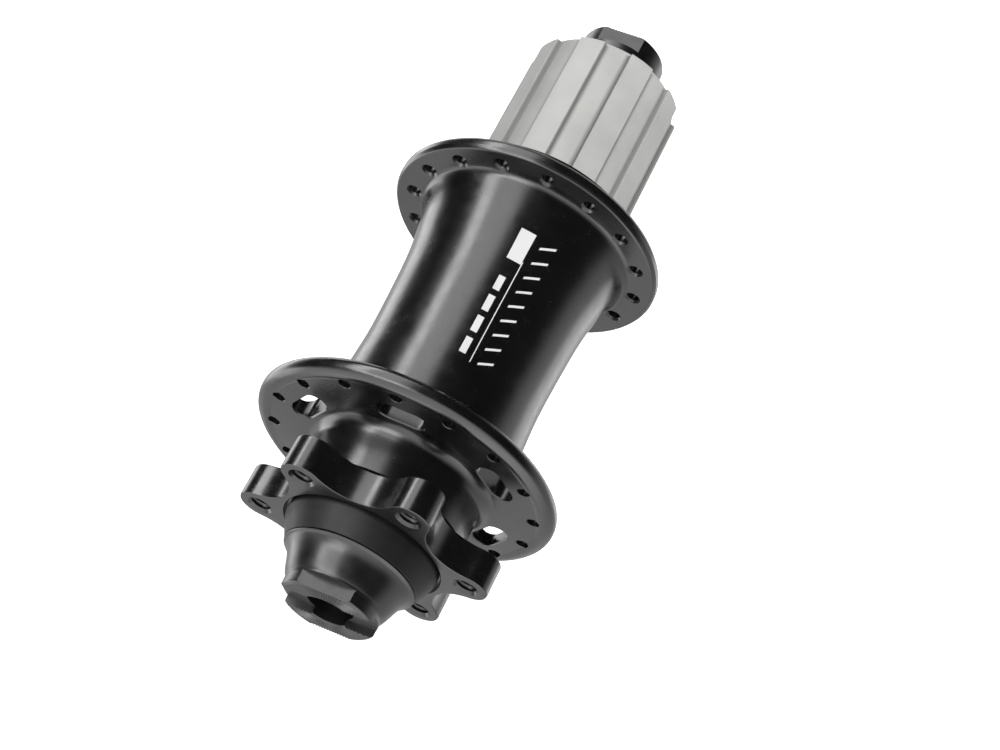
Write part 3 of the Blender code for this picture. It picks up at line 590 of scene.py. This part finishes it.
def slot_cutter(builder, angle, end_steps=14):
    """Round-ended slot along the tangent, with its edges broken."""
    straight = (SLOT_LENGTH - SLOT_WIDTH) / 2
    tilt = math.radians(angle)

    def outline(grow):
        end_r = SLOT_WIDTH / 2 + grow
        points = []
        for side, start in ((1, 0.0), (-1, 180.0)):
            for step in range(end_steps + 1):
                out, along = polar(end_r, start + 180.0 * step / end_steps)
                points.append((SLOT_R + out, side * straight + along))
        return [
            (x * math.cos(tilt) - z * math.sin(tilt), x * math.sin(tilt) + z * math.cos(tilt))
            for x, z in points
        ]

    _, y_low, y_high = DISC_SPOKES
    layers = ((y_low - 3.5, 0.0), (y_high - 0.25, 0.0), (y_high + 0.75, 1.0))
    loft([(y, outline(grow)) for y, grow in layers], builder)


def build_shell():
    """One turned piece: rotor mount, neck, disc flange, barrel, drive flange and bearing seats."""
    edge = 0.35
    neck = ((51.2, 17.65), (47.5, 17.6), (43.9, 17.65), (42.5, 18.15), (41.5, 19.2), (41.15, 20.1))
    outside = [
        (ROTOR_FACE_Y, mount_radius(edge)),
        (ROTOR_FACE_Y - edge * 0.3, mount_radius(edge * 0.3)),
        (ROTOR_FACE_Y - edge, mount_radius(0.0)),
        (ROTOR_BACK_Y + edge, mount_radius(0.0)),
        (ROTOR_BACK_Y + edge * 0.3, mount_radius(edge * 0.3)),
        (ROTOR_BACK_Y, mount_radius(edge)),
        (ROTOR_BACK_Y, 18.2),
        *flowing(neck),
    ]
    rim = [
        (41.15, 24.0),
        *rounded([(41.15, 29.9, 4.6), (39.8, 32.2, 2.0), (38.0, 32.2, 1.6), (36.8, 30.8, 0.8),
                  (36.95, 29.7, 0.8), (38.3, 27.2, 1.0), (38.3, 24.0)], 6)[:-1],
    ]
    drive = rounded(
        [(-18.5, 24.4), (-18.5, 24.5), (-18.5, 29.2, 0.6), (-19.3, 29.7, 0.7), (-20.6, 29.7, 0.8),
         (-21.7, 28.9, 0.7), (-21.7, 22.6, 0.9), (-26.6, 22.6, 0.7), (-26.6, 19.4, 0.3),
         (-16.9, 19.4), (-16.9, 15.25), (-8.25, 15.25), (-8.25, 13.5), (50.15, 13.5),
         (50.15, 15.25), (57.6, 15.25), (57.6, 16.6), (58.45, 16.6), (58.7, 16.85)], 4
    )
    profile = outside + rim + flowing(BARREL, BARREL_STEPS) + drive[1:]
    shell = mesh_object("hub_shell_finish", turned(profile, mount_angles()))
    threads, spokes, slots = bmesh.new(), bmesh.new(), bmesh.new()
    for angle in even_angles(LOBE_COUNT):
        thread_cutter(threads, angle)
    for (circle_r, y_low, y_high), phase in ((DISC_SPOKES, 0.0), (DRIVE_SPOKES, 180.0 / SPOKES)):
        for angle in even_angles(SPOKES, SPOKE_PHASE + phase):
            spoke_cutter(spokes, circle_r, y_low, y_high, angle)
    for angle in even_angles(SLOT_COUNT, SLOT_PHASE):
        slot_cutter(slots, angle)
    carve(shell, threads, spokes, slots)
    place(shell, "hub_shell_assembly", ANODISED, ["hub_shell"])


def barrel_radius(y):
    """Radius of the barrel's curve at y."""
    curve = flowing(BARREL, BARREL_STEPS)
    for (high_y, high_r), (low_y, low_r) in zip(curve, curve[1:]):
        if low_y <= y <= high_y:
            share = (high_y - y) / (high_y - low_y)
            return high_r + (low_r - high_r) * share
    return curve[0][1]


def printed_patch(builder, angle, y, half_angle, half_y, slant=0.0):
    """Thin raised patch of ink on the barrel. slant moves its far edge along y."""
    columns = max(2, int(half_angle * 2))
    rows = max(2, int(half_y * 2))
    layers = []
    for lift in (-0.02, 0.03):
        grid = []
        for column in range(columns + 1):
            across = 2.0 * column / columns - 1.0
            line = []
            for row in range(rows + 1):
                place_y = y + half_y * (2.0 * row / rows - 1.0) + slant * across
                turn = angle + half_angle * across
                line.append(builder.verts.new(at(barrel_radius(place_y) + lift, turn, place_y)))
            grid.append(line)
        layers.append(grid)
    low, high = layers
    for grid in layers:
        for column in range(columns):
            for row in range(rows):
                corners = (
                    grid[column][row], grid[column + 1][row],
                    grid[column + 1][row + 1], grid[column][row + 1],
                )
                builder.faces.new(corners)
    for column in range(columns):
        for row in (0, rows):
            builder.faces.new((low[column][row], low[column + 1][row],
                               high[column + 1][row], high[column][row]))
    for row in range(rows):
        for column in (0, columns):
            builder.faces.new((low[column][row], low[column][row + 1],
                               high[column][row + 1], high[column][row]))


def build_print():
    """Plain bars and strokes in white ink, with no lettering."""
    line = (110.6, 10.0, 0.3, 12.5)             # angle, y, half angle, half length along y
    block = (105.6, -5.4, 4.6, 3.6)
    dashes = [(104.2, 19.5, 2.1, 1.9), (104.2, 14.2, 2.1, 1.9), (104.2, 9.0, 2.1, 1.9),
              (104.2, 4.0, 2.1, 1.7)]
    strokes = [(119.6, 21.0 - 3.6 * step, 4.4, 0.28, -0.9) for step in range(9)]
    builder = bmesh.new()
    for patch in (line, block, *dashes, *strokes):
        printed_patch(builder, *patch)
    ink = mesh_object("shell_print", builder)
    place(ink, "hub_shell_assembly", WHITE_INK)


# ---------------------------------------------------------------- caps and covers
def serrated(y, depth, teeth_angles):
    """y of a face cut with fine radial serrations, as a function of the angle."""
    deep = set(teeth_angles[1::2])
    return lambda angle: y - math.copysign(depth, y) if angle in deep else y


def box_cutter(builder, x_half, z_low, z_high, y_low, y_high, flare=0.0):
    """Block along X. flare widens it in z at its y_high end."""
    def outline(grow):
        return [(-x_half, z_low - grow), (x_half, z_low - grow),
                (x_half, z_high + grow), (-x_half, z_high + grow)]
    loft([(y_low, outline(0.0)), (y_high, outline(flare))], builder)


def build_disc_cap():
    """Trumpet-shaped cap with a serrated face, two wrench flats and a slot across the face."""
    flat_z, flat_y, slot_half, slot_depth = 8.5, 71.0, 3.6, 1.8
    angles = even_angles(192)
    teeth = serrated(HALF_LENGTH, 0.22, angles)
    face = HALF_LENGTH - 0.02
    profile = [
        (HALF_LENGTH - 0.4, BORE_R),
        (face, BORE_R + 0.4),
        (teeth, BORE_R + 0.6),
        (teeth, 9.3),
        *rounded([(face, 9.4), (HALF_LENGTH - 0.5, 10.1, 0.5), (71.3, 10.1, 0.4),
                  (70.9, 10.25)], 5),
        *flowing(((70.75, 10.3), (70.2, 10.62), (69.2, 11.05), (66.4, 12.1), (64.9, 13.1),
                  (64.4, 13.75)), 6),
        (64.27, 13.88),
        (64.25, 13.8),
        (64.25, 10.3),
        (57.65, 10.3),
        (57.65, AXLE_SEAT_R + FIT),
        (AXLE_END_Y[1] + FIT, AXLE_SEAT_R + FIT),
        (AXLE_END_Y[1] + FIT, BORE_R),
    ]
    cap = mesh_object("disc_end_cap_finish", turned(profile, angles))
    cuts = bmesh.new()
    for side in (1, -1):
        low, high = sorted((side * flat_z, side * CAP_CUT_HALF))
        box_cutter(cuts, CAP_CUT_HALF, low, high, flat_y, CAP_CUT_END)
    slot = bmesh.new()
    slot_floor = HALF_LENGTH - slot_depth
    box_cutter(slot, CAP_CUT_HALF, -slot_half, slot_half, slot_floor, CAP_CUT_END, flare=0.28)
    carve(cap, cuts, slot)
    place(cap, "axle_assembly", CAP_ANODISED, ["disc_end_cap"])


def build_drive_cap():
    """Plain cap with a serrated face, a knurled waist and two wrench flats."""
    flat_z, flat_y, knurl_r, knurl_floor_r = 8.2, -69.8, 9.5, 9.42
    angles = even_angles(160)
    ridged = set(angles[1::2])
    teeth = serrated(-HALF_LENGTH, 0.2, angles)

    def knurl(angle):
        return knurl_r if angle in ridged else knurl_floor_r

    profile = [
        (-61.25, AXLE_SEAT_R + FIT),
        (-61.25, 9.3),
        (-61.45, 9.5),
        (-62.6, 9.5),
        (-62.7, knurl),
        (-69.4, knurl),
        (-69.5, 9.5),
        (-73.5, 9.5),
        (-73.85, 9.35),
        (-73.98, 9.05),
        (teeth, 8.9),
        (teeth, BORE_R + 0.6),
        (-73.98, BORE_R + 0.4),
        (-73.6, BORE_R),
        (-66.0, BORE_R),
        (-66.0, AXLE_SEAT_R + FIT),
    ]
    cap = mesh_object("drive_end_cap_finish", turned(profile, angles))
    cuts = bmesh.new()
    for side in (1, -1):
        low, high = sorted((side * flat_z, side * CAP_CUT_HALF))
        box_cutter(cuts, CAP_CUT_HALF, low, high, -CAP_CUT_END, flat_y)
    carve(cap, cuts)
    place(cap, "axle_assembly", CAP_ANODISED, ["drive_end_cap"])


def build_dust_cover():
    profile = rounded([
        (64.0, 10.55), (64.0, 13.9, 0.35), (61.0, 15.35, 4.0), (59.2, 16.1, 1.6),
        (58.0, 16.1, 0.25), (58.0, 14.6, 0.2), (61.6, 13.4), (61.6, 10.55),
    ])
    cover = mesh_object("disc_dust_cover_finish", turned(profile, even_angles(160)))
    place(cover, "axle_assembly", RUBBER, ["disc_dust_cover"])


# ---------------------------------------------------------------- freehub
def spline_angles():
    """Angles of a turning, closer together where a ridge's walls are."""
    offsets = (0.0, 4.0, 7.5, 9.0, 9.35, 9.6, 9.85, 10.15, 10.4, 10.7, 11.2, 12.5, 15.0, 17.5)
    ridge = [-offset for offset in reversed(offsets[1:])] + list(offsets) + [20.0]
    return [360.0 / SPLINES * number + offset for number in range(SPLINES) for offset in ridge]


def spline_radius(drop):
    """Radius of the splined barrel less drop: ridges with rounded shoulders and roots."""
    pitch = 360.0 / SPLINES
    wall_start, wall_span = SPLINE_WALL

    def radius(angle):
        offset = abs((angle + pitch / 2) % pitch - pitch / 2)
        share = min(max((offset - wall_start) / wall_span, 0.0), 1.0)
        ease = share * share * (3.0 - 2.0 * share)
        return SPLINE_TIP_R + (SPLINE_ROOT_R - SPLINE_TIP_R) * ease - drop

    return radius


def pocket_outline(angle):
    """(x, z) outline of the space that a pawl swings in: its heel, its floor and its open side."""
    pivot_r, heel_r, open_r = 13.6, 1.7, 16.9
    floor = ((11.7, -7.0), (11.75, -12.0), (12.0, -19.0), (12.3, -28.5))
    heel = [polar(heel_r, turn) for turn in range(60, 181, 10)]
    points = [(pivot_r + x, z) for x, z in heel]
    points += [polar(*corner) for corner in (*floor, (open_r, -28.5), (open_r, 6.5))]
    turn = Matrix.Rotation(math.radians(angle), 2)
    return [tuple(turn @ Vector(point)) for point in points]


def build_freehub():
    """Splined barrel with its bearing seats and, inside the shell, the pawl carrier."""
    profile = [
        (-17.2, 10.6), (-17.2, 15.15), (-17.45, 15.4), (-26.9, 15.4), (-26.9, 18.2),
        (-27.1, 18.4), (-28.1, 18.4), (-28.3, 18.2),
        (SPLINE_Y[1], spline_radius(0.0)),
        (SPLINE_Y[0], spline_radius(0.0)),
        (-62.6, spline_radius(0.12)),
        (-62.7, spline_radius(0.3)),
        (-62.7, 15.85), (-62.8, 15.85), (-63.2, 15.85), (-63.4, 15.65), (-63.4, 13.6),
        (-63.05, 13.25), (-62.4, 13.25), (-62.4, 14.0), (-61.1, 14.0), (-61.1, 13.25),
        (-55.75, 13.25), (-55.75, 11.6), (-33.25, 11.6), (-33.25, 13.25),
        (-27.75, 13.25), (-27.75, 10.6),
    ]
    body = mesh_object("freehub_body_finish", turned(profile, spline_angles()))
    pockets = bmesh.new()
    for angle in even_angles(PAWL_COUNT, PAWL_PHASE):
        loft([(y, pocket_outline(angle)) for y in POCKET_Y], pockets)
    carve(body, pockets)
    place(body, "freehub_assembly", BLASTED, ["freehub_body"])


def build_snap_ring():
    """Open internal ring with a plier hole near each end."""
    outer_r, inner_r, gap, steps = 13.75, 11.9, 24.0, 120
    turns = [gap / 2 + (360.0 - gap) * step / steps for step in range(steps + 1)]
    outline = [polar(outer_r, turn) for turn in turns]
    outline += [polar(inner_r, turn) for turn in reversed(turns)]
    ring = mesh_object("freehub_snap_ring_finish", loft([(-62.15, outline), (-61.35, outline)]))
    holes = bmesh.new()
    hole_centre_r, hole_r, hole_turn = 12.85, 0.45, 17.0
    for turn in (hole_turn, -hole_turn):
        hole = circle(hole_centre_r, turn, hole_r, 16)
        loft([(-63.0, hole), (-60.8, hole)], holes)
    carve(ring, holes)
    place(ring, "freehub_assembly", SPRING_STEEL, ["freehub_snap_ring"])


def build_ratchet():
    """Ring of saw teeth, turned so that the pawls' tips stand in the gaps."""
    pitch = 360.0 / TOOTH_COUNT
    angles, inner = [], {}
    for tooth in range(TOOTH_COUNT):
        start = PAWL_PHASE - PAWL_TIP_LAG - TIP_GAP + pitch * tooth
        for share, radius in TOOTH_OUTLINE:
            angles.append(start + pitch * share)
            inner[angles[-1]] = radius
    low, high = RATCHET_Y
    profile = [
        (high, RATCHET_OUTER_R), (low, RATCHET_OUTER_R),
        (low, inner.__getitem__), (high, inner.__getitem__),
    ]
    ring = mesh_object("ratchet_ring_finish", turned(profile, angles))
    place(ring, "hub_shell_assembly", HARDENED_STEEL, ["ratchet_ring"])


# ---------------------------------------------------------------- axle and bearings
def build_turned_pieces():
    """Plain turnings, each with its body, material, slot and (y, radius, fillet) profile."""
    low, high = AXLE_END_Y
    seat, thick, ring_groove = AXLE_SEAT_R, AXLE_BODY_R, 7.35
    pieces = {
        "axle": ("axle_assembly", SATIN_BLACK, "satin_black", [
            (high, AXLE_BORE_R), (high, seat, 0.5), (61.7, seat), (61.7, ring_groove),
            (60.3, ring_groove), (60.3, seat), (50.15, seat), (50.15, thick, 0.3),
            (-8.25, thick, 0.3), (-8.25, seat), (-62.3, seat), (-62.3, ring_groove),
            (-63.7, ring_groove), (-63.7, seat), (low, seat, 0.5), (low, AXLE_BORE_R)]),
        "shell_to_freehub_spacer": ("axle_assembly", SATIN_BLACK, "satin_black", [
            (-15.75, 8.5), (-15.75, 10.0, 0.25), (-27.75, 10.0, 0.25), (-27.75, 8.5)]),
        "freehub_bearing_spacer": ("axle_assembly", SATIN_BLACK, "satin_black", [
            (-33.25, 8.5), (-33.25, 10.0, 0.25), (-55.75, 10.0, 0.25), (-55.75, 8.5)]),
        "freehub_lip_seal": ("hub_shell_assembly", RUBBER, "black_rubber", [
            (-26.3, 19.15, 0.2), (-24.9, 19.15, 0.2), (-24.9, 16.2, 0.2), (-25.6, 15.7, 0.15),
            (-26.3, 16.2, 0.2)]),
    }
    for name, (body, material, slot, profile) in pieces.items():
        ring = mesh_object(name + "_finish", turned(rounded(profile), even_angles(128)))
        place(ring, body, material, [name])
    for name, y in (("disc_cap_o_ring", 61.0), ("drive_cap_o_ring", -63.0)):
        section = [polar(0.42, turn) for turn in even_angles(14)]
        ring = turned([(y + along, 7.95 + out) for out, along in section], even_angles(96))
        place(mesh_object(name + "_finish", ring), "axle_assembly", RUBBER, [name])


def build_bearing(name):
    """Both rings with their races, two lipped seals, and the balls in their cage."""
    bore_r, outer_r, width, centre_y, ball_count, body = BEARINGS[name]
    height = outer_r - bore_r
    pitch_r, ball_r = (bore_r + outer_r) / 2, height / 4
    inner_land, outer_land = bore_r + height * RING_LAND, outer_r - height * RING_LAND
    high, low = centre_y + width / 2, centre_y - width / 2
    groove_r = ball_r + RACE_PLAY
    span = math.acos((outer_land - pitch_r) / groove_r)
    arc = [span * (1.0 - step / 5.0) for step in range(11)]

    def groove(side):
        return [
            (centre_y + groove_r * math.sin(t), pitch_r + side * groove_r * math.cos(t))
            for t in arc
        ]

    edge = RING_CHAMFER
    inner = [
        (low, bore_r + edge), (low + edge, bore_r), (high - edge, bore_r), (high, bore_r + edge),
        (high, inner_land), *groove(-1.0), (low, inner_land),
    ]
    outer = [
        (low, outer_land), *reversed(groove(1.0)), (high, outer_land), (high, outer_r - edge),
        (high - edge, outer_r), (low + edge, outer_r), (low, outer_r - edge),
    ]
    angles = even_angles(120)
    rings = (("inner_ring", inner, "axle_assembly"), ("outer_ring", outer, body))
    for part, profile, owner in rings:
        ring = mesh_object(f"{name}_{part}_finish", turned(profile, angles))
        place(ring, owner, GROUND_STEEL, [f"{name}_{part}"])
    for side, label in ((1, "disc_side_seal"), (-1, "drive_side_seal")):
        face = centre_y + side * (width / 2 - 0.15)
        groove_y, back = face - side * 0.15, face - side * 0.45
        seal_low, seal_high = inner_land + 0.2, outer_land - 0.2
        profile = [
            (face, seal_low + 0.1), (face, seal_low + 0.55), (groove_y, seal_low + 0.7),
            (groove_y, seal_high - 0.7), (face, seal_high - 0.55), (face, seal_high - 0.1),
            (groove_y, seal_high), (back, seal_high), (back, seal_low), (groove_y, seal_low),
        ]
        seal = mesh_object(f"{name}_{label}_finish", turned(profile, angles))
        place(seal, body, RUBBER, [f"{name}_{label}"])
    balls = bmesh.new()
    for angle in even_angles(ball_count):
        spot = Matrix.Translation(at(pitch_r, angle, centre_y))
        bmesh.ops.create_uvsphere(
            balls, u_segments=20, v_segments=12, radius=ball_r * MM, matrix=spot
        )
    cage = [
        (centre_y + side * CAGE_HALF_WIDTH, pitch_r + out * CAGE_HALF_HEIGHT)
        for side, out in ((1, -1), (1, 1), (-1, 1), (-1, -1))
    ]
    set_of_balls = mesh_object(f"{name}_balls_finish", turned(cage, even_angles(ball_count * 8)))
    carve(set_of_balls, balls, operation="UNION")
    place(set_of_balls, f"{name}_cage", GROUND_STEEL, [f"{name}_balls"])


def finish_pawls():
    """The pawls and their leaf springs keep their CAD shape, with broken edges."""
    for number in range(1, PAWL_COUNT + 1):
        for name, material, width in (
            (f"pawl_{number}", HARDENED_STEEL, 0.15),
            (f"pawl_spring_{number}", SPRING_STEEL, 0.05),
        ):
            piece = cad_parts[name]
            piece.data.materials.clear()
            piece.data.materials.append(material)
            bevel = piece.modifiers.new("broken_edges", "BEVEL")
            bevel.width = width * MM
            bevel.segments = 2
            bevel.limit_method = "ANGLE"
            bevel.angle_limit = math.radians(35.0)


# ---------------------------------------------------------------- studio
def soft_box(name, ring_angle, distance, centre_y, width, length, power):
    """Strip light parallel to the hub axis, at an angle round it, facing it.

    It is seen only in reflections. Matt surfaces get their light from the world."""
    light = bpy.data.lights.new(name, "AREA")
    light.shape = "RECTANGLE"
    light.size, light.size_y = width, length
    light.energy = power
    lamp = bpy.data.objects.new(name, light)
    turn = math.radians(ring_angle)
    lamp.location = (distance * math.cos(turn), centre_y, distance * math.sin(turn))
    outward, along = Vector((math.cos(turn), 0.0, math.sin(turn))), Vector((0.0, 1.0, 0.0))
    facing = Matrix((along.cross(outward), along, outward)).transposed()
    lamp.visible_diffuse = False
    lamp.rotation_mode = "QUATERNION"
    lamp.rotation_quaternion = facing.to_quaternion()
    bpy.context.scene.collection.objects.link(lamp)


def white_background(tree):
    background = node(tree, "ShaderNodeBackground")
    background.inputs["Color"].default_value = WHITE
    background.inputs["Strength"].default_value = 1.0
    return background


def build_floor():
    """Pale floor that only the camera sees: the hub gets its light from the world instead."""
    builder = bmesh.new()
    bmesh.ops.create_grid(builder, x_segments=1, y_segments=1, size=FLOOR_HALF_SIZE)
    floor = mesh_object("floor", builder)
    floor.location.z = cad_box[0].z - FLOOR_DROP
    paint = surface(
        "floor_paint", (0.82, 0.82, 0.82), (0.84, 0.84, 0.84), (0.9, 0.95), 0.0, mottle=3.0,
    )
    shader = paint.node_tree.nodes["Principled BSDF"]
    shader.inputs["Emission Color"].default_value = WHITE
    shader.inputs["Emission Strength"].default_value = 1.0
    floor.data.materials.append(paint)
    floor.visible_glossy = floor.visible_diffuse = floor.visible_shadow = False


def build_world():
    """A room that mirrors dark above the hub and light below, a soft fill and a white backdrop."""
    world = bpy.data.worlds.new("studio")
    bpy.context.scene.world = world
    world.use_nodes = True
    tree = world.node_tree
    direction = node(tree, "ShaderNodeTexCoord").outputs["Generated"]
    parts = node(tree, "ShaderNodeSeparateXYZ")
    tree.links.new(direction, parts.inputs[0])
    glow = node(tree, "ShaderNodeMath", operation="ADD")
    tree.links.new(ramp(tree, parts.outputs["Z"], HORIZON), glow.inputs[0])
    tree.links.new(ramp(tree, parts.outputs["Y"], END_GLOW), glow.inputs[1])
    room = tree.nodes["Background"]
    room.inputs["Color"].default_value = WHITE
    tree.links.new(glow.outputs[0], room.inputs["Strength"])
    across = node(tree, "ShaderNodeVectorMath", operation="DOT_PRODUCT")
    across.inputs[1].default_value = FILL_SIDE
    tree.links.new(direction, across.inputs[0])
    fill, backdrop = white_background(tree), white_background(tree)
    tree.links.new(ramp(tree, across.outputs["Value"], SOFT_FILL), fill.inputs["Strength"])
    path = node(tree, "ShaderNodeLightPath")
    shown = room
    for rays, other in (("Is Diffuse Ray", fill), ("Is Camera Ray", backdrop)):
        pick = node(tree, "ShaderNodeMixShader")
        tree.links.new(path.outputs[rays], pick.inputs["Fac"])
        tree.links.new(shown.outputs[0], pick.inputs[1])
        tree.links.new(other.outputs[0], pick.inputs[2])
        shown = pick
    tree.links.new(shown.outputs[0], tree.nodes["World Output"].inputs["Surface"])


def build_camera():
    data = bpy.data.cameras.new("camera")
    data.lens = CAMERA_LENS
    data.sensor_width = CAMERA_SENSOR
    camera = bpy.data.objects.new("camera", data)
    spot, aim = Vector(CAMERA_SPOT), Vector(CAMERA_AIM)
    roll = Quaternion((0.0, 0.0, 1.0), math.radians(CAMERA_ROLL))
    camera.rotation_mode = "QUATERNION"
    camera.rotation_quaternion = (aim - spot).to_track_quat("-Z", "Y") @ roll
    camera.location = spot
    bpy.context.scene.collection.objects.link(camera)
    bpy.context.scene.camera = camera


build_shell()
build_print()
build_disc_cap()
build_drive_cap()
build_dust_cover()
build_freehub()
build_snap_ring()
build_ratchet()
build_turned_pieces()
for bearing in BEARINGS:
    build_bearing(bearing)
finish_pawls()
build_floor()
build_world()
for soft_box_settings in SOFT_BOXES:
    soft_box(*soft_box_settings)
build_camera()
bpy.context.scene.view_settings.view_transform = "Standard"

bpy.context.view_layer.update()
